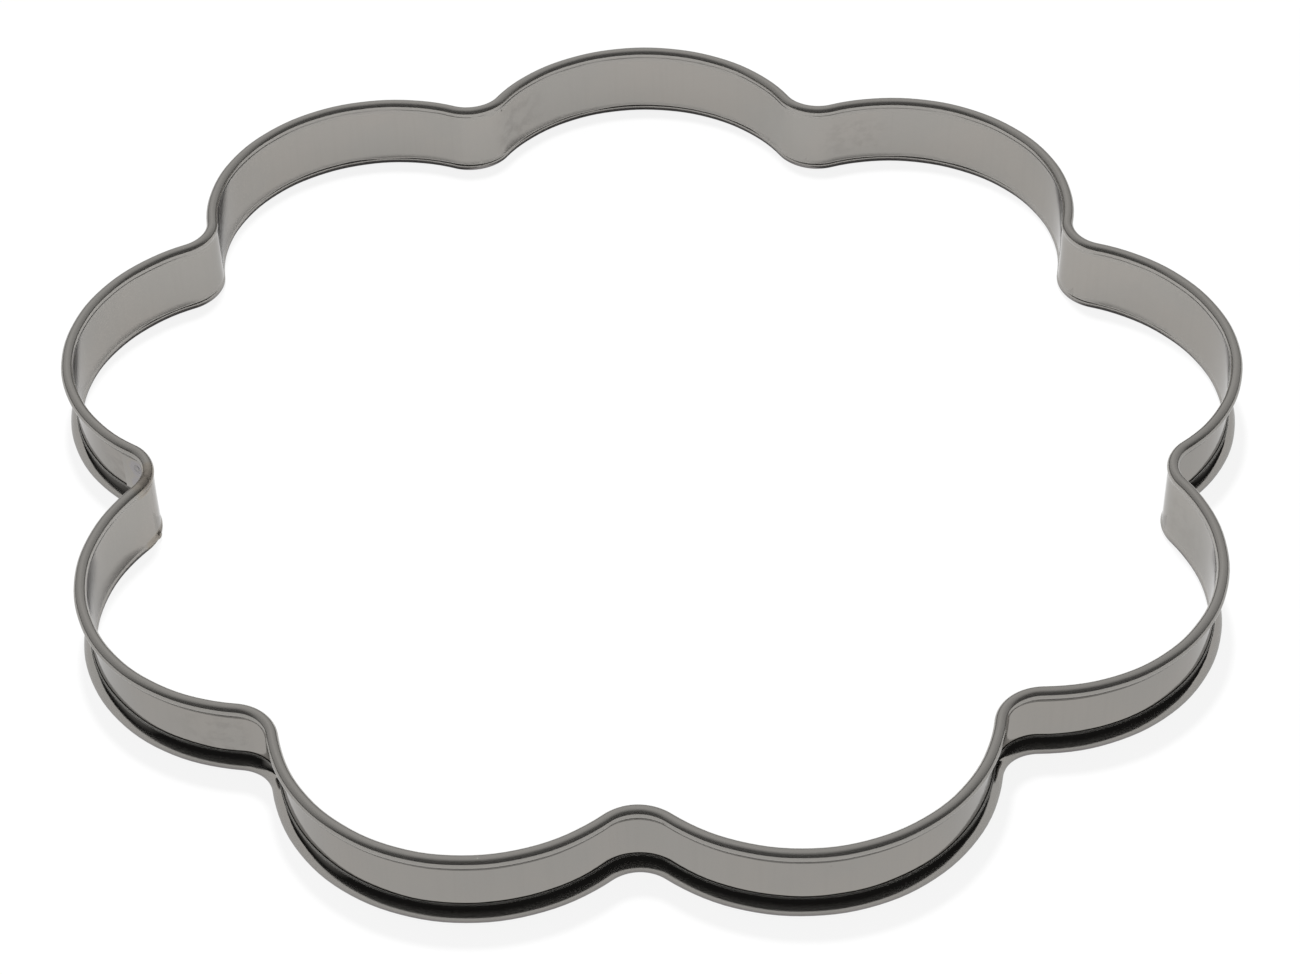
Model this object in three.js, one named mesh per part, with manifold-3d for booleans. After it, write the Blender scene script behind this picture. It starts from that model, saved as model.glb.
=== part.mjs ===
// Flower-shaped tart ring, in millimetres, +Z up.
// A strip of stainless steel is bent into petals. Both edges of the strip are rolled outwards over a wire,
// stand a little proud of the wall inside, and end in a slanting flap whose lip lies against the wall outside.
// The ends of the strip meet in one valley, where the rolls are butt-welded and a strap is spot-welded across
// the joint.
// The ring stands on its lower roll at z = 0, centred on its outer box, with the valley of the joint on -X.

import * as THREE from 'three';
import { mergeVertices } from 'three/addons/utils/BufferGeometryUtils.js';
import Module from 'manifold-3d';

// Ring
const RING_HEIGHT = 20; // from the foot of the lower roll to the crown of the upper one
const PETAL_COUNT = 9;
const VALLEY_CIRCLE = 252; // diameter of the circle that touches the valleys from inside
const VALLEY_RADIUS = 11.4; // bend of the inner line in a valley
const PETAL_DEPTH = 27.2; // from the line that touches two valleys to the crest of the petal between them
const SEAM_INSET = 12.8; // how much further in the valley of the joint lies

// Strip and its rolled edges
const SHEET = 0.5; // thickness of the strip
const ROLL_DIAMETER = 2.9; // outside of a rolled edge
const ROLL_PROUD = 0.25; // how far the rolls stand in front of the inner face of the wall
const HEM_HEIGHT = 4.9; // from the crown of a roll to the lip of its flap
const LIP_GAP = 0.1; // between a lip and the wall
const FIT_GAP = 0.3; // clearance between pieces that meet

// Joint
const SEAM_OFFSET = 4.5; // along the strip, from the crest of its valley to the joint
const BUTT_WELD_LENGTH = 0.6; // along the strip
const BUTT_WELD_SINK = 0.15; // how far a butt weld is dressed below the skin of its roll
const STRAP_LENGTH = 36; // along the strip, half on each side of the joint
const STRAP_SHEET = 0.5; // thickness of the strap
const STRAP_MARGIN = 0.3; // between an edge of the strap and a lip
const SPOT_DIAMETER = 2.2; // spot weld
const SPOT_CROWN = 0.15; // how far a spot weld stands out of the strap
const SPOT_TO_END = 4.5; // from an end of the strap to its spot welds
const SPOT_TO_EDGE = 2.2; // from a long edge of the strap to the nearest spot weld

// Facets
const PETAL_STEPS = 10;
const VALLEY_STEPS = 6;
const ROLL_SIDES = 12;
const BORE_SIDES = 8;
const WIRE_SIDES = 6;
const WELD_SIDES = 16;
const LEAST_STEP = 0.5; // along the strip, from an end of a swept piece to its next station

// Derived sizes
const rollRadius = ROLL_DIAMETER / 2;
const boreRadius = rollRadius - SHEET;
const wireRadius = boreRadius - FIT_GAP;
const buttGap = BUTT_WELD_LENGTH + 2 * FIT_GAP;
const wallBack = ROLL_PROUD + SHEET;
const strapFace = wallBack + FIT_GAP;
const strapBack = strapFace + STRAP_SHEET;
const strapFoot = HEM_HEIGHT + STRAP_MARGIN;
const strapTop = RING_HEIGHT - strapFoot;

const FULL_TURN = 2 * Math.PI;
const BISECTION_ROUNDS = 50;

const steel = new THREE.MeshStandardMaterial({ color: 0x94938e, roughness: 0.22, metalness: 1 });
const wireSteel = new THREE.MeshStandardMaterial({ color: 0x8a8883, roughness: 0.4, metalness: 1 });
const weldMetal = new THREE.MeshStandardMaterial({ color: 0x7c6a54, roughness: 0.5, metalness: 1 });

// Centres of the valley bends, anticlockwise from the valley of the joint on -X.
// The other valleys lie on one circle. Every petal has the same chord, so the two valleys beside the joint
// close up as its own valley goes in.
function valleyCentres() {
  const ring = VALLEY_CIRCLE / 2 + VALLEY_RADIUS;
  const seam = ring - SEAM_INSET;
  const evenGaps = PETAL_COUNT - 2;
  let least = 0;
  let most = Math.PI;
  for (let round = 0; round < BISECTION_ROUNDS; round += 1) {
    const middle = (least + most) / 2;
    const seamChord = Math.hypot(seam - ring * Math.cos(middle), ring * Math.sin(middle));
    const evenChord = 2 * ring * Math.sin((Math.PI - middle) / evenGaps);
    if (seamChord < evenChord) {
      least = middle;
    } else {
      most = middle;
    }
  }
  const centres = [new THREE.Vector2(-seam, 0)];
  for (let k = 0; k <= evenGaps; k += 1) {
    const angle = Math.PI + least + (k * (FULL_TURN - 2 * least)) / evenGaps;
    centres.push(new THREE.Vector2(ring * Math.cos(angle), ring * Math.sin(angle)));
  }
  return centres;
}

// One bend of the inner line, which the rolls touch from outside. A petal turns anticlockwise around a centre
// inside the ring and a valley turns clockwise around one outside it, so outward is away from the first and
// towards the second.
function bend(centre, radius, start, end, isValley, steps) {
  const turn = isValley ? start - end : end - start;
  const sweep = THREE.MathUtils.euclideanModulo(turn, FULL_TURN);
  const curve = new THREE.ArcCurve(centre.x, centre.y, radius, start, end, isValley);
  return { curve, centre, steps, side: isValley ? -1 : 1, length: radius * sweep };
}

// The inner line as bends, anticlockwise from the crest of the joint's valley.
function planBends() {
  const valleys = valleyCentres();
  const next = (k) => (k + 1) % PETAL_COUNT;
  const halfChord = valleys[0].distanceTo(valleys[1]) / 2;
  const rise = PETAL_DEPTH - VALLEY_RADIUS;
  const petalRadius = (halfChord ** 2 + rise ** 2 - VALLEY_RADIUS ** 2) / (2 * PETAL_DEPTH);
  const petals = valleys.map((from, k) => {
    const to = valleys[next(k)];
    const inward = new THREE.Vector2(from.y - to.y, to.x - from.x).normalize();
    return from.clone().add(to).multiplyScalar(0.5).addScaledVector(inward, petalRadius - rise);
  });
  const heading = (from, to) => to.clone().sub(from).angle();
  const crest = 0; // the crest of the joint's valley faces +X
  const first = valleys[0];
  const made = [bend(first, VALLEY_RADIUS, crest, heading(first, petals[0]), true, VALLEY_STEPS / 2)];
  petals.forEach((petal, k) => {
    const to = valleys[next(k)];
    made.push(bend(petal, petalRadius, heading(petal, valleys[k]), heading(petal, to), false, PETAL_STEPS));
    const isLast = next(k) === 0;
    const end = isLast ? crest : heading(to, petals[next(k)]);
    const steps = isLast ? VALLEY_STEPS / 2 : VALLEY_STEPS;
    made.push(bend(to, VALLEY_RADIUS, heading(to, petal), end, true, steps));
  });
  return made;
}

const bends = planBends();
const loopLength = bends.reduce((sum, each) => sum + each.length, 0);

// Point and outward direction of the inner line at a distance along it.
function locate(distance) {
  let rest = THREE.MathUtils.euclideanModulo(distance, loopLength);
  const found = bends.find((each) => {
    if (rest <= each.length) return true;
    rest -= each.length;
    return false;
  });
  const point = found.curve.getPoint(rest / found.length);
  const out = point.clone().sub(found.centre).normalize().multiplyScalar(found.side);
  return { point, out };
}

// Stations along the inner line between two distances: both ends and the steps of every bend between them,
// less those that crowd an end.
function stations(start, end) {
  const steps = [];
  let passed = 0;
  for (const each of bends) {
    for (let k = 0; k < each.steps; k += 1) {
      steps.push(passed + (k * each.length) / each.steps);
    }
    passed += each.length;
  }
  const rounds = [-loopLength, 0, loopLength];
  const between = rounds
    .flatMap((shift) => steps.map((step) => step + shift))
    .filter((step) => step > start + LEAST_STEP && step < end - LEAST_STEP);
  return [start, ...between, end].map(locate);
}

// A closed section, anticlockwise in (outward, up), carried along stations and capped at both ends.
function sweep(section, path) {
  const size = section.length;
  const positions = [];
  for (const { point, out } of path) {
    for (const corner of section) {
      positions.push(point.x + corner.x * out.x, point.y + corner.x * out.y, corner.y);
    }
  }
  const index = [];
  for (let row = 0; row + 1 < path.length; row += 1) {
    for (let j = 0; j < size; j += 1) {
      const a = row * size + j;
      const d = row * size + ((j + 1) % size);
      index.push(a, a + size, d + size, a, d + size, d);
    }
  }
  const lastRow = (path.length - 1) * size;
  for (const [a, b, c] of THREE.ShapeUtils.triangulateShape(section, [])) {
    index.push(a, b, c, lastRow + c, lastRow + b, lastRow + a);
  }
  const geometry = new THREE.BufferGeometry();
  geometry.setAttribute('position', new THREE.Float32BufferAttribute(positions, 3));
  geometry.setIndex(index);
  geometry.computeVertexNormals();
  return geometry;
}

// Corner of a many-sided round whose flats touch a circle, with flats straight up, down and to the sides.
function roundCorner(radius, sides, k) {
  const half = Math.PI / sides;
  const angle = half + k * 2 * half;
  const reach = radius / Math.cos(half);
  return new THREE.Vector2(reach * Math.cos(angle), reach * Math.sin(angle));
}

// Height at which an upright line meets a flat of a round, from the flat's direction.
function heightOnFlat(radius, direction, across) {
  return (radius - across * Math.cos(direction)) / Math.sin(direction);
}

// Section of the strip: a wall whose edges go round a roll each, over its inner side and its crown, and come
// back to the wall in a flap. The faces of the wall end on the last flats of a roll and of its bore. The flap
// leaves the roll at the foot of its outermost flat and is as thick as the sheet.
function stripSection() {
  const upperMiddle = new THREE.Vector2(rollRadius, RING_HEIGHT - rollRadius);
  const face = ROLL_PROUD - rollRadius;
  const back = face + SHEET;
  const rollFlat = -Math.PI + FULL_TURN / ROLL_SIDES;
  const boreFlat = -Math.PI + FULL_TURN / BORE_SIDES;
  const flapStart = roundCorner(rollRadius, ROLL_SIDES, -1);
  const lip = new THREE.Vector2(back + LIP_GAP, rollRadius - HEM_HEIGHT);
  const slope = (flapStart.y - lip.y) / (flapStart.x - lip.x);
  const flapRise = SHEET * Math.hypot(1, slope); // upright, through the flap
  const upper = [new THREE.Vector2(face, heightOnFlat(rollRadius, rollFlat, face))];
  for (let k = ROLL_SIDES / 2; k > -1; k -= 1) {
    upper.push(roundCorner(rollRadius, ROLL_SIDES, k));
  }
  upper.push(flapStart, lip, new THREE.Vector2(lip.x, lip.y + flapRise));
  upper.push(new THREE.Vector2(boreRadius, lip.y + flapRise + slope * (boreRadius - lip.x)));
  for (let k = 0; k <= BORE_SIDES / 2; k += 1) {
    upper.push(roundCorner(boreRadius, BORE_SIDES, k));
  }
  upper.push(new THREE.Vector2(back, heightOnFlat(boreRadius, boreFlat, back)));
  upper.forEach((corner) => corner.add(upperMiddle));
  const lower = upper.map((corner) => new THREE.Vector2(corner.x, RING_HEIGHT - corner.y)).reverse();
  return [...upper, ...lower].reverse();
}

// Section of a wire in the middle of a roll.
function wireSection(height) {
  const middle = new THREE.Vector2(rollRadius, height);
  return Array.from({ length: WIRE_SIDES }, (_, k) => {
    const angle = (k * FULL_TURN) / WIRE_SIDES;
    return new THREE.Vector2(wireRadius * Math.cos(angle), wireRadius * Math.sin(angle)).add(middle);
  });
}

function mesh(name, geometry, material) {
  const made = new THREE.Mesh(geometry, material);
  made.name = name;
  return made;
}

const wasm = await Module();
wasm.setup();

function toSolid(geometry) {
  const bare = geometry.clone();
  bare.deleteAttribute('normal');
  bare.deleteAttribute('uv');
  const merged = mergeVertices(bare);
  return new wasm.Manifold(
    new wasm.Mesh({
      numProp: 3,
      vertProperties: new Float32Array(merged.attributes.position.array),
      triVerts: new Uint32Array(merged.index.array),
    }),
  );
}

function toGeometry(solid) {
  const { vertProperties, triVerts } = solid.getMesh();
  const geometry = new THREE.BufferGeometry();
  geometry.setAttribute('position', new THREE.BufferAttribute(vertProperties, 3));
  geometry.setIndex(new THREE.BufferAttribute(triVerts, 1));
  geometry.computeVertexNormals();
  return geometry;
}

// A short round bar, placed across the strip by its distance along it, its reach outwards and its height.
function bar(name, diameter, length, place, direction) {
  const shape = new THREE.CylinderGeometry(diameter / 2, diameter / 2, length, WELD_SIDES);
  const made = mesh(name, shape, weldMetal);
  made.position.copy(place);
  made.quaternion.setFromUnitVectors(new THREE.Vector3(0, 1, 0), direction);
  return made;
}

function placeAt(distance, outward, height) {
  const { point, out } = locate(distance);
  const flat = point.addScaledVector(out, outward);
  return { place: new THREE.Vector3(flat.x, flat.y, height), across: new THREE.Vector3(out.x, out.y, 0) };
}

const stripPath = stations(SEAM_OFFSET + buttGap / 2, SEAM_OFFSET + loopLength - buttGap / 2);
const band = mesh('band', sweep(stripSection(), stripPath), steel);
const upperWire = mesh('upper_edge_wire', sweep(wireSection(RING_HEIGHT - rollRadius), stripPath), wireSteel);
const lowerWire = mesh('lower_edge_wire', sweep(wireSection(rollRadius), stripPath), wireSteel);

function buttWeld(name, height) {
  const { place, across } = placeAt(SEAM_OFFSET, rollRadius, height);
  const along = new THREE.Vector3(-across.y, across.x, 0);
  return bar(name, ROLL_DIAMETER - 2 * BUTT_WELD_SINK, BUTT_WELD_LENGTH, place, along);
}

// Spot welds stand in holes of the strap, one near each of its corners.
function spotWelds() {
  const heights = [strapFoot + SPOT_TO_EDGE, strapTop - SPOT_TO_EDGE];
  const reach = STRAP_LENGTH / 2 - SPOT_TO_END;
  const length = STRAP_SHEET + SPOT_CROWN;
  return [-reach, reach].flatMap((from, column) =>
    heights.map((height, row) => {
      const name = `strap_spot_weld_${column * heights.length + row + 1}`;
      const { place, across } = placeAt(SEAM_OFFSET + from, strapFace + length / 2, height);
      return bar(name, SPOT_DIAMETER, length, place, across);
    }),
  );
}

// Hole in the strap around a spot weld.
function spotHole(weld) {
  const radius = SPOT_DIAMETER / 2 + FIT_GAP;
  const geometry = new THREE.CylinderGeometry(radius, radius, 4 * STRAP_SHEET, WELD_SIDES);
  weld.updateMatrix();
  return toSolid(geometry.applyMatrix4(weld.matrix));
}

function strap(welds) {
  const section = [
    new THREE.Vector2(strapFace, strapFoot),
    new THREE.Vector2(strapBack, strapFoot),
    new THREE.Vector2(strapBack, strapTop),
    new THREE.Vector2(strapFace, strapTop),
  ];
  const path = stations(SEAM_OFFSET - STRAP_LENGTH / 2, SEAM_OFFSET + STRAP_LENGTH / 2);
  const cut = welds.reduce((solid, weld) => solid.subtract(spotHole(weld)), toSolid(sweep(section, path)));
  return mesh('joint_strap', toGeometry(cut), steel);
}

const ring = new THREE.Group();
ring.name = 'flower_tart_ring';
const welds = spotWelds();
ring.add(band, upperWire, lowerWire, strap(welds), ...welds);
ring.add(buttWeld('upper_butt_weld', RING_HEIGHT - rollRadius), buttWeld('lower_butt_weld', rollRadius));

band.geometry.computeBoundingBox();
const middle = band.geometry.boundingBox.getCenter(new THREE.Vector3());
ring.position.set(-middle.x, -middle.y, 0);

export default ring;
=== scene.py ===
"""Dresses the flower tart ring in polished steel and sets it on a white studio floor."""
import math

import bpy
from mathutils import Matrix, Vector


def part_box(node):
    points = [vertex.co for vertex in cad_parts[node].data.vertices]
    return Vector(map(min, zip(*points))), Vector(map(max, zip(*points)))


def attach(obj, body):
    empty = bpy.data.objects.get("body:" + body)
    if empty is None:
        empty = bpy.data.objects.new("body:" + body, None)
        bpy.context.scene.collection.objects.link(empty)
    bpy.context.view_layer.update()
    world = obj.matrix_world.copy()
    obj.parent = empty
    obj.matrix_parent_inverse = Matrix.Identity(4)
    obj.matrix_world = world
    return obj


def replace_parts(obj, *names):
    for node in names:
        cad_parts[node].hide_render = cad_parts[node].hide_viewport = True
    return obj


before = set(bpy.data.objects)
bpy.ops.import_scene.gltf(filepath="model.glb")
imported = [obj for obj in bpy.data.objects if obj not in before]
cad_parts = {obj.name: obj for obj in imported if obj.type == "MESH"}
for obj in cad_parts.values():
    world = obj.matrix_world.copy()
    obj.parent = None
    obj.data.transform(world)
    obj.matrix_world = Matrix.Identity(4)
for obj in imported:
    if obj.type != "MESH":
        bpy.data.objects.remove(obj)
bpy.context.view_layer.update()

# Sizes of the ring, in millimetres
MM = 0.001
RING_HEIGHT = 20.0
PETAL_COUNT = 9
VALLEY_CIRCLE = 252.0
VALLEY_RADIUS = 11.4
PETAL_DEPTH = 27.2
SEAM_INSET = 12.8
SHEET = 0.5
ROLL_RADIUS = 1.45
ROLL_PROUD = 0.25
NECK_RADIUS = 0.8
FLAP_START = math.radians(25)
FLAP_RADIUS = 10.0
LIP_GAP = 0.03
LIP_ROUND = 0.12
WIRE_RADIUS = 0.65
WALL_SWAY = 0.05
WALL_BOW = 0.08
ROLL_SWAY = 0.06
ROLL_SWELL = 0.012

# Sizes of the joint, in millimetres
SEAM_OFFSET = 4.5
BUTT_GAP = 0.06
STRAP_LENGTH = 36.0
STRAP_FACE = 0.88
STRAP_BACK = 1.22
STRAP_FOOT = 5.0
STRAP_HEAD = 15.3
STRAP_SLOPE = 0.15
STRAP_EDGE = 0.06
SPOT_TO_END = 4.5
SPOT_TO_EDGE = 2.4
SPOT_ROOT = 0.2
WELD_HALF = 0.95
WELD_SINK = 0.09
WELD_CROWN = 0.13
WELD_RIPPLE = 0.03
FLOOR_GAP = 0.02

# Fineness of the meshes
PETAL_STEPS = 40
VALLEY_STEPS = 28
ROLL_STEPS = 32
NECK_STEPS = 5
FLAP_STEPS = 8
LIP_STEPS = 4
BORE_STEPS = 10
BORE_FLAP_STEPS = 4
WALL_ROWS = 10
WIRE_SIDES = 16
SPOT_SIDES = 40
WELD_ROWS = 18
WELD_SIDES = 48

# Camera, from the outline of the ring in the photograph
CAMERA_PLACE = Vector((-91.9, -567.0, 518.6)) * MM
CAMERA_TARGET = Vector((-6.5, -18.9, 10.0)) * MM
CAMERA_ROLL = math.radians(-1.33)
CAMERA_LENS = 88.74
SENSOR_WIDTH = 36.0

# Lamp above and behind the ring, and how much of its shadow on the floor the camera sees
LAMP_PLACE = Vector((0, 0.45, 1.75))
LAMP_POWER = 28.0
LAMP_SIZE = 0.2
SHADOW_SEEN = 0.14
FLOOR_SIZE = 40
PAPER = (0.95, 0.95, 0.95, 1)
BLACK = (0, 0, 0, 1)
WHITE = (1, 1, 1, 1)

# Light of the room: dark on the camera's side and at the horizon, lighter behind the ring, less at its sides
ROOM_DARK = 0.02
ROOM_LIGHT = 0.68
ROOM_SIDES = -0.35
ROOM_HORIZON = 0.05

FULL_TURN = 2 * math.pi


def valley_centres():
    """Centres of the valley bends, anticlockwise from the joint's valley. All petals have one chord."""
    ring = VALLEY_CIRCLE / 2 + VALLEY_RADIUS
    seam = ring - SEAM_INSET
    even_gaps = PETAL_COUNT - 2
    least, most = 0.0, math.pi
    for _ in range(50):
        middle = (least + most) / 2
        seam_chord = math.hypot(seam - ring * math.cos(middle), ring * math.sin(middle))
        even_chord = 2 * ring * math.sin((math.pi - middle) / even_gaps)
        if seam_chord < even_chord:
            least = middle
        else:
            most = middle
    angles = [math.pi + least + k * 2 * (math.pi - least) / even_gaps for k in range(even_gaps + 1)]
    return [Vector((-seam, 0))] + [ring * Vector((math.cos(a), math.sin(a))) for a in angles]


def heading(start, end):
    """Angle of the line from start to end."""
    return math.atan2(end.y - start.y, end.x - start.x)


def bend(centre, radius, start, end, is_valley, steps):
    """One bend of the inner line: a petal turns anticlockwise, a valley clockwise."""
    side = -1 if is_valley else 1
    turn = (side * (end - start)) % FULL_TURN
    return {"centre": centre, "radius": radius, "start": start, "turn": side * turn, "side": side,
            "length": radius * turn, "steps": steps}


def plan_bends():
    """The inner line as bends, anticlockwise from the crest of the joint's valley."""
    valleys = valley_centres()
    half_chord = (valleys[0] - valleys[1]).length / 2
    rise = PETAL_DEPTH - VALLEY_RADIUS
    petal_radius = (half_chord ** 2 + rise ** 2 - VALLEY_RADIUS ** 2) / (2 * PETAL_DEPTH)
    petals = []
    for k, start in enumerate(valleys):
        end = valleys[(k + 1) % PETAL_COUNT]
        inward = Vector((start.y - end.y, end.x - start.x)).normalized()
        petals.append((start + end) / 2 + inward * (petal_radius - rise))
    half_steps = VALLEY_STEPS // 2
    bends = [bend(valleys[0], VALLEY_RADIUS, 0, heading(valleys[0], petals[0]), True, half_steps)]
    for k, petal in enumerate(petals):
        after = (k + 1) % PETAL_COUNT
        start, end = valleys[k], valleys[after]
        turn = (heading(petal, start), heading(petal, end))
        bends.append(bend(petal, petal_radius, *turn, False, PETAL_STEPS))
        last = after == 0
        stop = 0 if last else heading(end, petals[after])
        steps = half_steps if last else VALLEY_STEPS
        bends.append(bend(end, VALLEY_RADIUS, heading(end, petal), stop, True, steps))
    return bends


BENDS = plan_bends()
LOOP = sum(b["length"] for b in BENDS)


def locate(distance):
    """Point and outward direction of the inner line at a distance along it."""
    rest = distance % LOOP
    for b in BENDS:
        if rest <= b["length"]:
            break
        rest -= b["length"]
    angle = b["start"] + b["turn"] * min(1, rest / b["length"])
    ray = Vector((math.cos(angle), math.sin(angle)))
    return b["centre"] + b["radius"] * ray, b["side"] * ray


def stations(start, end):
    """Distances along the inner line from start to end, at the steps of each bend."""
    steps = []
    passed = 0.0
    for b in BENDS:
        steps += [passed + k * b["length"] / b["steps"] for k in range(b["steps"])]
        passed += b["length"]
    between = [s + shift for shift in (-LOOP, 0, LOOP) for s in steps]
    return [start] + [s for s in between if start + 0.2 < s < end - 0.2] + [end]


# The plan is placed by the butt weld of the upper roll, whose middle is on the strip's joint.
weld_low, weld_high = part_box("upper_butt_weld")
joint_point, joint_out = locate(SEAM_OFFSET)
joint_flat = joint_point + joint_out * ROLL_RADIUS
weld_middle = (weld_low + weld_high) / 2
PLAN_SHIFT = Vector((weld_middle.x / MM - joint_flat.x, weld_middle.y / MM - joint_flat.y))


def place(distance, outward, height):
    """Row-frame point, in metres, of a place on the strip."""
    point, out = locate(distance)
    flat = point + out * outward + PLAN_SHIFT
    return Vector((flat.x, flat.y, height)) * MM


def unevenness(distance, seed, lengths):
    """Smooth waviness along the strip, between -1 and 1, from waves of these lengths."""
    waves = [math.sin(FULL_TURN * distance / length + seed * (k + 1)) for k, length in enumerate(lengths)]
    return sum(waves) / len(waves)


def new_object(name, verts, faces, uvs, material):
    """A smooth mesh piece of the ring with a map of metres along and around the strip."""
    mesh = bpy.data.meshes.new(name)
    mesh.from_pydata(verts, [], faces)
    layer = mesh.uv_layers.new(name="along_strip")
    for loop, uv in zip(layer.data, uvs):
        loop.uv = uv
    mesh.shade_smooth()
    mesh.set_sharp_from_angle(angle=math.radians(35))
    mesh.materials.append(material)
    obj = bpy.data.objects.new(name, mesh)
    bpy.context.scene.collection.objects.link(obj)
    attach(obj, "root")
    return obj


def sweep(name, section_at, distances, material):
    """Carries a closed section, as (outward, height) corners for a distance, along the strip."""
    model = section_at(distances[0])
    size = len(model)
    around = [0.0]
    for k in range(size):
        (x0, z0), (x1, z1) = model[k], model[(k + 1) % size]
        around.append(around[-1] + math.hypot(x1 - x0, z1 - z0))
    verts = [place(s, x, z) for s in distances for x, z in section_at(s)]
    faces = []
    uvs = []
    for row in range(len(distances) - 1):
        near, far = distances[row] * MM, distances[row + 1] * MM
        for k in range(size):
            a = row * size + k
            b = row * size + (k + 1) % size
            low, high = around[k] * MM, around[k + 1] * MM
            faces.append((a, a + size, b + size, b))
            uvs += [(near, low), (far, low), (far, high), (near, high)]
    last = (len(distances) - 1) * size
    faces.append(tuple(range(size)))
    faces.append(tuple(last + k for k in reversed(range(size))))
    uvs += [(distances[0] * MM, around[k] * MM) for k in range(size)]
    uvs += [(distances[-1] * MM, around[k] * MM) for k in reversed(range(size))]
    return new_object(name, verts, faces, uvs, material)


def arc(middle, radius, start, end, steps):
    """Points of an arc, its two ends among them."""
    angles = [start + (end - start) * k / steps for k in range(steps + 1)]
    return [(middle[0] + radius * math.cos(a), middle[1] + radius * math.sin(a)) for a in angles]


def upside_down(points):
    """Points of a section with its upper edge made its lower one."""
    return [(x, RING_HEIGHT - z) for x, z in reversed(points)]


def roll_side(radius, middle, wall):
    """Skin and bore of the upper roll: bulging flap from its lip, roll, and neck to the wall."""
    roll = (middle, RING_HEIGHT - radius)
    across = middle - wall + NECK_RADIUS
    drop = math.sqrt((radius + NECK_RADIUS) ** 2 - across ** 2)
    neck = (wall - NECK_RADIUS, roll[1] - drop)
    meet = math.pi + math.atan2(drop, across)
    flap = (middle - (FLAP_RADIUS - radius) * math.cos(FLAP_START),
            roll[1] + (FLAP_RADIUS - radius) * math.sin(FLAP_START))
    lip = wall + SHEET + LIP_GAP
    skin_end = -math.acos((lip + LIP_ROUND - flap[0]) / (FLAP_RADIUS - LIP_ROUND))
    bore_end = -math.acos((lip - flap[0]) / (FLAP_RADIUS - SHEET))
    round_z = flap[1] + (FLAP_RADIUS - LIP_ROUND) * math.sin(skin_end)
    skin = arc((lip + LIP_ROUND, round_z), LIP_ROUND, -math.pi, skin_end, LIP_STEPS)
    skin += arc(flap, FLAP_RADIUS, skin_end, -FLAP_START, FLAP_STEPS)[1:-1]
    skin += arc(roll, radius, -FLAP_START, meet, ROLL_STEPS)
    skin += arc(neck, NECK_RADIUS, meet - math.pi, 0, NECK_STEPS)[1:]
    bore = arc(flap, FLAP_RADIUS - SHEET, bore_end, -FLAP_START, BORE_FLAP_STEPS)[:-1]
    bore += arc(roll, radius - SHEET, -FLAP_START, meet, BORE_STEPS)
    bore += arc(neck, NECK_RADIUS + SHEET, meet - math.pi, 0, NECK_STEPS)[1:]
    return skin, bore


def strip_section(distance):
    """Wall with both edges rolled over a wire and brought back to the wall, slightly uneven."""
    wall = ROLL_PROUD + WALL_SWAY * unevenness(distance, 1.7, (53, 29, 17))
    sides = []
    for seed in (0.4, 2.3):
        radius = ROLL_RADIUS * (1 + ROLL_SWELL * unevenness(distance, seed, (37, 19, 11, 6.1)))
        middle = ROLL_RADIUS + ROLL_SWAY * unevenness(distance, seed + 3.1, (61, 31, 13))
        sides.append(roll_side(radius, middle, wall))
    (upper_skin, upper_bore), (lower_skin, lower_bore) = sides
    low, high = RING_HEIGHT - lower_skin[-1][1], upper_skin[-1][1]
    bow = WALL_BOW * unevenness(distance, 4.2, (71, 41, 23))
    rows = [k / WALL_ROWS for k in range(1, WALL_ROWS)]
    inner = [(wall + bow * math.sin(math.pi * t) ** 2, high + (low - high) * t) for t in rows]
    outer = [(x + SHEET, z) for x, z in reversed(inner)]
    front = upper_skin + inner + upside_down(lower_skin)
    back = upside_down(lower_bore[::-1]) + outer + upper_bore[::-1]
    return front + back


def wire_section(height):
    """Section of the wire at this height, as a function because sweep asks for one at each distance."""
    section = arc((ROLL_RADIUS, height), WIRE_RADIUS, 0, FULL_TURN, WIRE_SIDES)[:-1]
    return lambda distance: section


def strap_section(distance):
    """Flat strap with broken edges. Its head slopes to fit under the flap of the upper roll."""
    corners = ((STRAP_BACK, STRAP_FOOT, -90), (STRAP_BACK, STRAP_HEAD + STRAP_SLOPE, 0),
               (STRAP_FACE, STRAP_HEAD - STRAP_SLOPE, 90), (STRAP_FACE, STRAP_FOOT, 180))
    points = []
    for x, z, turn in corners:
        middle = (x - math.copysign(STRAP_EDGE, x - (STRAP_FACE + STRAP_BACK) / 2),
                  z - math.copysign(STRAP_EDGE, z - RING_HEIGHT / 2))
        points += arc(middle, STRAP_EDGE, math.radians(turn), math.radians(turn + 90), 4)
    return points


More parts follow.
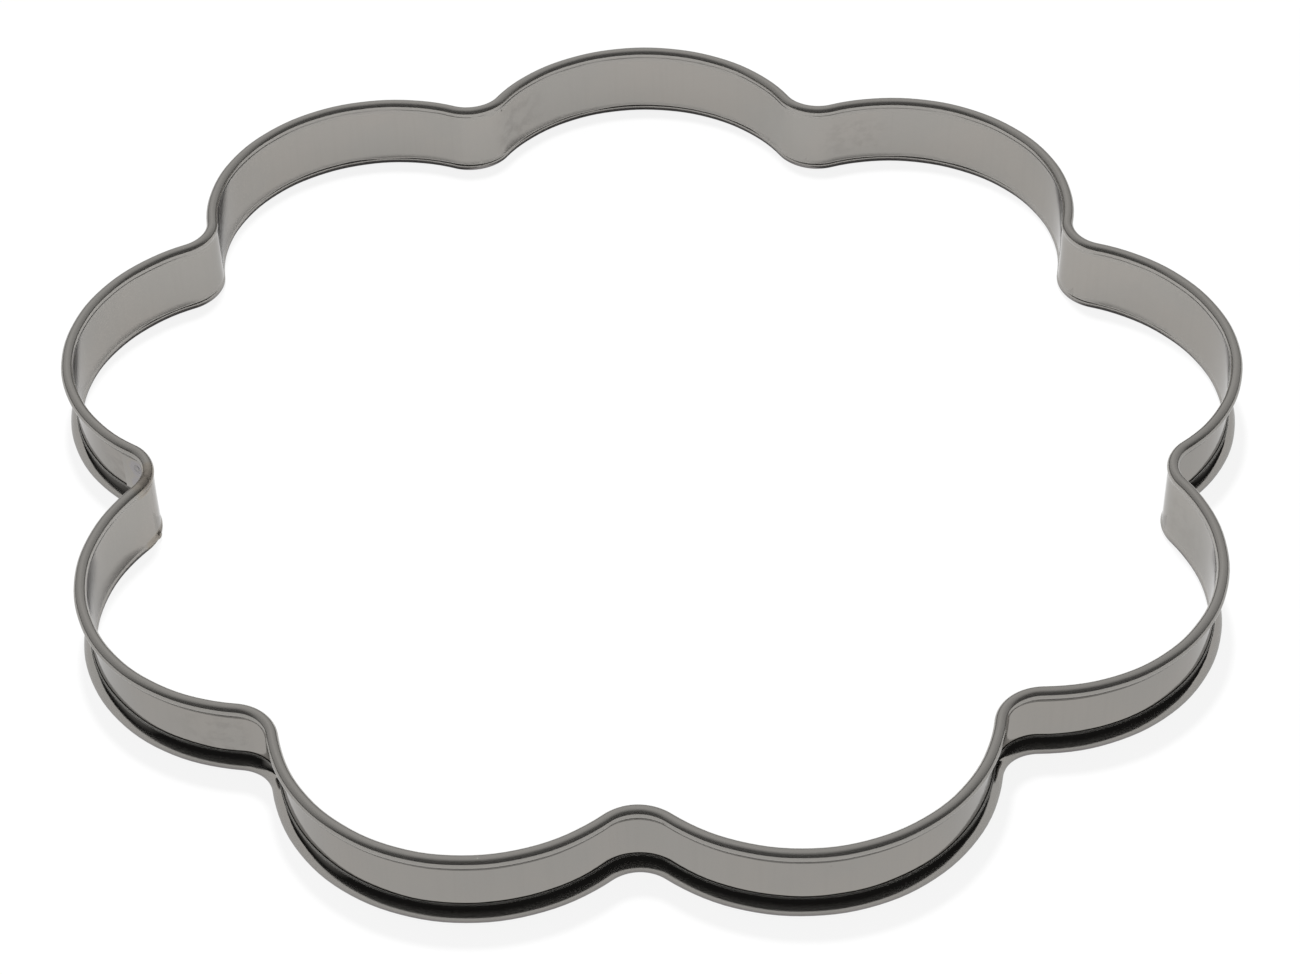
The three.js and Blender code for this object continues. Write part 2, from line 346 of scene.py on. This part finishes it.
def spot_mark(name, distance, height, material):
    """Round dent of a spot weld with a raised rim, on the back of the strap."""
    rings = ((0.25, 0.0), (0.55, 0.015), (0.8, 0.07), (0.95, 0.11), (1.08, 0.08), (1.2, 0.0),
             (1.22, -SPOT_ROOT))
    verts = [place(distance, STRAP_BACK, height)]
    for reach, rise in rings:
        for k in range(SPOT_SIDES):
            turn = FULL_TURN * k / SPOT_SIDES
            wide = reach * (1 + 0.03 * math.sin(2 * turn + distance) + 0.02 * math.sin(5 * turn + height))
            across, up = wide * math.cos(turn), wide * math.sin(turn)
            verts.append(place(distance + across, STRAP_BACK + rise, height + up))
    verts.append(place(distance, STRAP_BACK - SPOT_ROOT, height))
    faces = [(0, 1 + k, 1 + (k + 1) % SPOT_SIDES) for k in range(SPOT_SIDES)]
    for ring in range(len(rings) - 1):
        for k in range(SPOT_SIDES):
            a = 1 + ring * SPOT_SIDES + k
            b = 1 + ring * SPOT_SIDES + (k + 1) % SPOT_SIDES
            faces.append((a, a + SPOT_SIDES, b + SPOT_SIDES, b))
    last = 1 + (len(rings) - 1) * SPOT_SIDES
    faces += [(last + (k + 1) % SPOT_SIDES, last + k, len(verts) - 1) for k in range(SPOT_SIDES)]
    uvs = [(verts[v].y, verts[v].z) for face in faces for v in face]
    return new_object(name, verts, faces, uvs, material)


def seam_weld(name, height, lump, material):
    """Lumpy weld round a roll across the joint. A lump stands out on the inner side."""
    verts = []
    for row in range(WELD_ROWS + 1):
        along = WELD_HALF * (2 * row / WELD_ROWS - 1)
        crown = 1 - (along / WELD_HALF) ** 2
        for k in range(WELD_SIDES):
            turn = FULL_TURN * k / WELD_SIDES
            ripple = math.sin(3 * turn + 4 * along + height) + math.sin(5 * turn - 7 * along + 2 * height)
            inside = max(0.0, -math.cos(turn)) ** 4
            bead = WELD_CROWN + WELD_RIPPLE * ripple + lump * inside
            reach = ROLL_RADIUS - WELD_SINK + bead * crown ** 0.7
            rise = max(height + reach * math.sin(turn), FLOOR_GAP)
            verts.append(place(SEAM_OFFSET + along, ROLL_RADIUS + reach * math.cos(turn), rise))
    faces = []
    for row in range(WELD_ROWS):
        for k in range(WELD_SIDES):
            a = row * WELD_SIDES + k
            b = row * WELD_SIDES + (k + 1) % WELD_SIDES
            faces.append((a, a + WELD_SIDES, b + WELD_SIDES, b))
    last = WELD_ROWS * WELD_SIDES
    faces.append(tuple(range(WELD_SIDES)))
    faces.append(tuple(last + k for k in reversed(range(WELD_SIDES))))
    uvs = [(verts[v].y, verts[v].z) for face in faces for v in face]
    return new_object(name, verts, faces, uvs, material)


class Shader:
    """Short calls that add nodes to a material or world. A socket takes a value or another output."""

    def __init__(self, owner):
        owner.use_nodes = True
        self.owner = owner
        self.tree = owner.node_tree
        self.surface = self.tree.nodes.get("Principled BSDF")

    def feed(self, node, values):
        for key, value in values.items():
            socket = node.inputs[key]
            if isinstance(value, bpy.types.NodeSocket):
                self.tree.links.new(value, socket)
            else:
                socket.default_value = value

    def add(self, kind, values=None, **settings):
        node = self.tree.nodes.new("ShaderNode" + kind)
        for key, value in settings.items():
            setattr(node, key, value)
        self.feed(node, values or {})
        return node

    def math(self, operation, first, second=0.0, third=0.0):
        node = self.add("Math", {0: first, 1: second, 2: third}, operation=operation)
        return node.outputs[0]

    def distance(self, first, second):
        return self.add("VectorMath", {0: first, 1: second}, operation="DISTANCE").outputs["Value"]

    def span(self, value, low, high, start=0.0, end=1.0):
        """Carries low..high smoothly to start..end."""
        values = {"Value": value, "From Min": low, "From Max": high, "To Min": start, "To Max": end}
        return self.add("MapRange", values, interpolation_type="SMOOTHSTEP").outputs["Result"]

    def mix(self, share, first, second):
        node = self.add("Mix", data_type="RGBA")
        for socket, value in ((node.inputs[0], share), (node.inputs[6], first), (node.inputs[7], second)):
            if isinstance(value, bpy.types.NodeSocket):
                self.tree.links.new(value, socket)
            else:
                socket.default_value = value
        return node.outputs[2]

    def strip_map(self, along, around):
        """Coordinates along and around the strip, in these steps for a metre."""
        where = self.add("UVMap", uv_map="along_strip").outputs["UV"]
        return self.add("Mapping", {"Vector": where, "Scale": (along, around, 1)}).outputs["Vector"]

    def noise(self, vector, scale=1.0, detail=2.0, rough=0.5):
        values = {"Vector": vector, "Scale": scale, "Detail": detail, "Roughness": rough}
        return self.add("TexNoise", values).outputs["Fac"]

    def finish(self, tone, metallic, roughness, bump):
        values = {"Base Color": tone, "Metallic": metallic, "Roughness": roughness, "Normal": bump}
        self.feed(self.surface, values)


# Colours of the steel
STEEL = (0.304, 0.288, 0.268, 1)
STEEL_COOL = (0.294, 0.283, 0.266, 1)
SCUFFED = (0.252, 0.239, 0.224, 1)
ROLLED = (0.335, 0.322, 0.302, 1)
# Painted contact shade for the foot of the strip
FOOT_SHADE = (0.170, 0.157, 0.158, 1)
STRAW = (0.318, 0.290, 0.252, 1)
BROWN = (0.215, 0.192, 0.168, 1)
BLUE = (0.285, 0.276, 0.298, 1)
PIT = (0.07, 0.065, 0.06, 1)
# Cut edge of the sheet: its own matte tone, lightened into a painted highlight
CUT_EDGE_HIGHLIGHT = (0.62, 0.61, 0.58, 1)
WIRE_BRIGHT = (0.30, 0.29, 0.275, 1)
WIRE_DULL = (0.24, 0.235, 0.225, 1)
EDGE_TINT = (0.78, 0.78, 0.78, 1)


def heat_share(shader, depth, along):
    """How much the heat of the welds shows: 1 at the joint, 0 from about this depth along the strip."""
    start, end = SEAM_OFFSET, LOOP + SEAM_OFFSET
    first = shader.span(along, start * MM, (start + depth) * MM, 1, 0)
    last = shader.span(along, (end - depth) * MM, end * MM, 0, 1)
    return shader.math("MAXIMUM", first, last)


def steel_material():
    """Polished sheet with duller rolls: faint streaks, painted shade on the foot, dull patches, pits, heat
    tint, and a painted highlight on the cut edge at the lips.
    """
    shader = Shader(bpy.data.materials.new("polished_steel"))
    place_at = shader.add("TexCoord").outputs["Object"]
    along = shader.add("SeparateXYZ", {0: shader.strip_map(1, 1)}).outputs["X"]
    rise = shader.add("SeparateXYZ", {0: place_at}).outputs["Z"]
    on_upper, on_lower = shader.span(rise, 0.0162, 0.0174), shader.span(rise, 0.0026, 0.0038, 1, 0)
    on_roll = shader.math("MAXIMUM", on_upper, on_lower)
    clouds = shader.noise(place_at, 45, 4)
    streaks = shader.noise(shader.strip_map(1100, 30), 1, 3)
    fine = shader.noise(shader.strip_map(60, 2600), 1, 2)
    tone = shader.mix(shader.span(clouds, 0.35, 0.65), STEEL, STEEL_COOL)
    tone = shader.mix(shader.span(streaks, 0.45, 0.75, 0, 0.12), tone, SCUFFED)
    dull = shader.math("MULTIPLY", on_roll, shader.span(fine, 0.3, 0.7, 0.85, 1))
    tone = shader.mix(dull, tone, ROLLED)

    # Painted contact shade on the foot: darker towards the bottom edge, where the floor under the lower roll
    # is in shadow
    foot_shade = shader.span(rise, 0.0008, 0.0022, 1, 0)
    foot_shade = shader.math("MULTIPLY", foot_shade, shader.span(clouds, 0.3, 0.7, 0.7, 1))
    tone = shader.mix(foot_shade, tone, FOOT_SHADE)

    # Dull patches on the flank of each petal, next to the valley
    turn = shader.math("FRACT", shader.math("DIVIDE", along, LOOP * MM / PETAL_COUNT))
    flank = shader.math("MULTIPLY", shader.span(turn, 0.74, 0.86), shader.span(turn, 0.93, 0.97, 1, 0))
    low, high = shader.span(rise, 0.0035, 0.006), shader.span(rise, 0.013, 0.0165, 1, 0)
    middle = shader.math("MULTIPLY", low, high)
    rub = shader.span(shader.noise(shader.strip_map(260, 330), 1, 4, 0.6), 0.42, 0.62)
    where = shader.span(shader.noise(shader.strip_map(12, 1), 1, 0), 0.4, 0.6)
    patch = shader.math("MULTIPLY", flank, middle)
    scuff = shader.math("MULTIPLY", patch, shader.math("MULTIPLY", rub, where))
    tone = shader.mix(shader.math("MULTIPLY", scuff, 0.6), tone, SCUFFED)

    # Sparse pits
    cells = shader.add("TexVoronoi", {"Vector": place_at, "Scale": 95.0}).outputs
    chance = shader.add("SeparateColor", {0: cells["Color"]}).outputs[0]
    spot = shader.span(cells["Distance"], 0.018, 0.034, 1, 0)
    pit = shader.math("MULTIPLY", spot, shader.span(chance, 0.8, 0.82))
    tone = shader.mix(shader.math("MULTIPLY", pit, 0.6), tone, PIT)

    # Cut edge of the sheet at the lips: duller and less metallic, and its tone lightened into a painted
    # highlight line
    normal = shader.add("NewGeometry").outputs["True Normal"]
    tilt = shader.add("SeparateXYZ", {0: normal}).outputs["Z"]
    to_edge = shader.math("ABSOLUTE", shader.math("SUBTRACT", rise, RING_HEIGHT / 2 * MM))
    above, below = shader.span(to_edge, 0.0044, 0.0046), shader.span(to_edge, 0.0055, 0.0058, 1, 0)
    near_lip = shader.math("MULTIPLY", above, below)
    cut_edge_highlight = shader.math("MULTIPLY", near_lip, shader.span(shader.math("ABSOLUTE", tilt), 0.62, 0.72))
    tone = shader.mix(cut_edge_highlight, tone, CUT_EDGE_HIGHLIGHT)

    # Heat tint of the welds on the rolls
    edge = shader.span(shader.noise(place_at, 420, 3), 0.3, 0.7, 0.75, 1.25)
    heat = shader.math("MULTIPLY", heat_share(shader, 8, along), on_roll)
    heat = shader.math("MULTIPLY", heat, edge)
    tone = shader.mix(shader.span(heat, 0.05, 0.45), tone, STRAW)
    tone = shader.mix(shader.span(heat, 0.4, 0.95), tone, BROWN)

    roughness = shader.math("MULTIPLY_ADD", on_roll, 0.05, shader.span(clouds, 0.3, 0.7, 0.05, 0.08))
    roughness = shader.math("MULTIPLY_ADD", heat, 0.14, roughness)
    roughness = shader.math("MULTIPLY_ADD", scuff, 0.12, roughness)
    roughness = shader.math("MULTIPLY_ADD", pit, 0.25, roughness)
    roughness = shader.math("MULTIPLY_ADD", cut_edge_highlight, 0.25, roughness)
    metallic = shader.math("MULTIPLY_ADD", on_roll, -0.24, 1.0)
    metallic = shader.math("MULTIPLY_ADD", cut_edge_highlight, -0.6, metallic)
    relief = shader.math("MULTIPLY_ADD", streaks, 0.5, shader.math("MULTIPLY", fine, 0.35))
    relief = shader.math("MULTIPLY_ADD", scuff, shader.math("MULTIPLY", rub, 0.6), relief)
    relief = shader.math("MULTIPLY_ADD", pit, -3.0, relief)
    bump = shader.add("Bump", {"Strength": 0.3, "Distance": 0.00003, "Height": relief}).outputs["Normal"]
    shader.finish(tone, metallic, roughness, bump)
    shader.feed(shader.surface, {"Specular Tint": EDGE_TINT})
    return shader.owner


def strap_material():
    """The same sheet as the strip, with a tinted halo round each spot weld."""
    shader = Shader(bpy.data.materials.new("strap_steel"))
    where = shader.add("TexCoord").outputs["Object"]
    clouds = shader.noise(where, 60, 4)
    streaks = shader.noise(shader.strip_map(1100, 30), 1, 3)
    tone = shader.mix(shader.span(clouds, 0.35, 0.65), STEEL, STEEL_COOL)
    tone = shader.mix(shader.span(streaks, 0.45, 0.75, 0, 0.16), tone, SCUFFED)
    blur = shader.math("MULTIPLY", shader.noise(where, 900, 2), 0.0012)
    halo = None
    for distance, height in SPOTS:
        centre = place(distance, STRAP_BACK, height)
        gap = shader.distance(where, centre)
        ring = shader.span(shader.math("SUBTRACT", gap, blur), 0.0008, 0.0034, 1, 0)
        halo = ring if halo is None else shader.math("MAXIMUM", halo, ring)
    tone = shader.mix(shader.span(halo, 0.0, 0.35, 0, 0.3), tone, STRAW)
    tone = shader.mix(shader.span(halo, 0.3, 0.9, 0, 0.6), tone, BLUE)
    roughness = shader.math("MULTIPLY_ADD", halo, 0.12, shader.span(clouds, 0.3, 0.7, 0.06, 0.09))
    bump = shader.add("Bump", {"Strength": 0.35, "Distance": 0.00003, "Height": streaks}).outputs["Normal"]
    shader.finish(tone, 1.0, roughness, bump)
    return shader.owner


def weld_material(name, bright, dark):
    """Weld metal: blotchy heat tint and a rough skin."""
    shader = Shader(bpy.data.materials.new(name))
    where = shader.add("TexCoord").outputs["Object"]
    blotch = shader.noise(where, 900, 4, 0.6)
    grain = shader.noise(where, 5200, 3)
    tone = shader.mix(shader.span(blotch, 0.35, 0.65), bright, dark)
    roughness = shader.span(grain, 0.3, 0.7, 0.25, 0.5)
    relief = shader.math("MULTIPLY_ADD", blotch, 2.0, grain)
    bump = shader.add("Bump", {"Strength": 0.6, "Distance": 0.00006, "Height": relief}).outputs["Normal"]
    shader.finish(tone, 1.0, roughness, bump)
    return shader.owner


def wire_material():
    """Drawn wire: fine lines along it and a dull grey skin."""
    shader = Shader(bpy.data.materials.new("drawn_wire"))
    where = shader.add("TexCoord").outputs["Object"]
    lines = shader.noise(shader.strip_map(20, 9000), 1, 3)
    clouds = shader.noise(where, 150, 3)
    tone = shader.mix(shader.span(clouds, 0.35, 0.65), WIRE_BRIGHT, WIRE_DULL)
    roughness = shader.span(lines, 0.3, 0.7, 0.28, 0.42)
    bump = shader.add("Bump", {"Strength": 0.4, "Distance": 0.00004, "Height": lines}).outputs["Normal"]
    shader.finish(tone, 1.0, roughness, bump)
    return shader.owner


def inside_share(shader, where):
    """1 on the floor inside the petals, 0 outside the ring."""
    petals = [b for b in BENDS if b["side"] > 0]
    nearest = None
    for petal in petals:
        flat = (petal["centre"] + PLAN_SHIFT) * MM
        gap = shader.distance(where, (flat.x, flat.y, 0))
        nearest = gap if nearest is None else shader.math("MINIMUM", nearest, gap)
    reach = petals[0]["radius"] * MM
    return shader.span(nearest, reach, reach + MM, 1, 0)


def floor_material():
    """White paper: lit by the lamp round the ring, with a glow further off to be white all over."""
    shader = Shader(bpy.data.materials.new("studio_floor"))
    nodes = shader.tree.nodes
    nodes.remove(shader.surface)
    path = shader.add("LightPath").outputs
    seen = shader.math("MAXIMUM", path["Is Camera Ray"], path["Is Glossy Ray"])
    seen = shader.math("MAXIMUM", seen, path["Is Transmission Ray"])
    where = shader.add("NewGeometry").outputs["Position"]
    mirrored = shader.math("MULTIPLY", path["Is Glossy Ray"], inside_share(shader, where))
    unseen = shader.math("SUBTRACT", 1, seen)
    depth = shader.math("MULTIPLY_ADD", path["Is Camera Ray"], SHADOW_SEEN, unseen)
    depth = shader.math("ADD", depth, mirrored)
    foot = (LAMP_PLACE.x, LAMP_PLACE.y, 0)
    slope = shader.math("DIVIDE", shader.distance(where, foot), LAMP_PLACE.z)
    lit = shader.math("POWER", shader.math("MULTIPLY_ADD", slope, slope, 1), -2)
    share = shader.math("MULTIPLY", lit, depth)
    paper = shader.add("BsdfDiffuse", {"Color": shader.mix(depth, BLACK, PAPER)})
    rest = shader.math("MULTIPLY", seen, shader.math("SUBTRACT", 1, share))
    glow = shader.add("Emission", {"Strength": rest})
    both = shader.add("AddShader", {0: paper.outputs[0], 1: glow.outputs[0]})
    shader.tree.links.new(both.outputs[0], nodes["Material Output"].inputs["Surface"])
    return shader.owner


def studio():
    """White floor in a dark room that is lighter behind the ring, and one lamp above and behind it."""
    bpy.ops.mesh.primitive_plane_add(size=FLOOR_SIZE)
    floor = bpy.context.object
    floor.name = "floor"
    floor.data.materials.append(floor_material())

    world = bpy.data.worlds.new("studio")
    bpy.context.scene.world = world
    shader = Shader(world)
    aim = shader.add("SeparateXYZ", {0: shader.add("TexCoord").outputs["Generated"]}).outputs
    level = shader.span(aim["Y"], -0.8, 0.3, ROOM_DARK, ROOM_LIGHT)
    level = shader.math("MULTIPLY_ADD", shader.math("ABSOLUTE", aim["X"]), ROOM_SIDES, level)
    level = shader.math("MULTIPLY", level, shader.span(aim["Z"], 0.05, 0.3, ROOM_HORIZON, 1))
    level = shader.math("MAXIMUM", level, ROOM_DARK)
    shader.feed(shader.tree.nodes["Background"], {"Color": WHITE, "Strength": level})

    lamp = bpy.data.lights.new("lamp", "AREA")
    lamp.shape = "DISK"
    lamp.size = LAMP_SIZE
    lamp.energy = LAMP_POWER
    holder = bpy.data.objects.new("lamp", lamp)
    holder.location = LAMP_PLACE
    holder.visible_glossy = False
    bpy.context.scene.collection.objects.link(holder)


def camera():
    """Camera at the photograph's angle."""
    data = bpy.data.cameras.new("photo")
    data.lens = CAMERA_LENS
    data.sensor_width = SENSOR_WIDTH
    obj = bpy.data.objects.new("photo", data)
    obj.location = CAMERA_PLACE
    look = (CAMERA_TARGET - CAMERA_PLACE).to_track_quat("-Z", "Y")
    obj.rotation_euler = (look.to_matrix() @ Matrix.Rotation(CAMERA_ROLL, 3, "Z")).to_euler()
    bpy.context.scene.collection.objects.link(obj)
    bpy.context.scene.camera = obj


# Places of the spot welds on the strap, in the order of their CAD nodes
SPOT_REACH = STRAP_LENGTH / 2 - SPOT_TO_END
SPOT_RISE = RING_HEIGHT / 2 - STRAP_FOOT - SPOT_TO_EDGE
SPOTS = [(SEAM_OFFSET + side * SPOT_REACH, RING_HEIGHT / 2 + row * SPOT_RISE)
         for side in (-1, 1) for row in (-1, 1)]

# Materials and pieces
polished = steel_material()
strap_steel = strap_material()
drawn_wire = wire_material()
tinted_weld = weld_material("tinted_weld", STRAW, BROWN)
spot_metal = weld_material("spot_metal", STEEL_COOL, BLUE)

path = stations(SEAM_OFFSET + BUTT_GAP / 2, LOOP + SEAM_OFFSET - BUTT_GAP / 2)
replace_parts(sweep("strip", strip_section, path, polished), "band")
for side, height, lump in (("upper", RING_HEIGHT - ROLL_RADIUS, 0.0), ("lower", ROLL_RADIUS, 0.3)):
    wire = sweep(f"{side}_core_wire", wire_section(height), path, drawn_wire)
    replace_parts(wire, f"{side}_edge_wire")
    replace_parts(seam_weld(f"{side}_seam_weld", height, lump, tinted_weld), f"{side}_butt_weld")
reach = STRAP_LENGTH / 2
strap_path = stations(SEAM_OFFSET - reach, SEAM_OFFSET + reach)
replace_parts(sweep("seam_strap", strap_section, strap_path, strap_steel), "joint_strap")
for k, (distance, height) in enumerate(SPOTS, 1):
    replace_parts(spot_mark(f"spot_mark_{k}", distance, height, spot_metal), f"strap_spot_weld_{k}")

camera()
studio()
bpy.context.scene.view_settings.view_transform = "Standard"
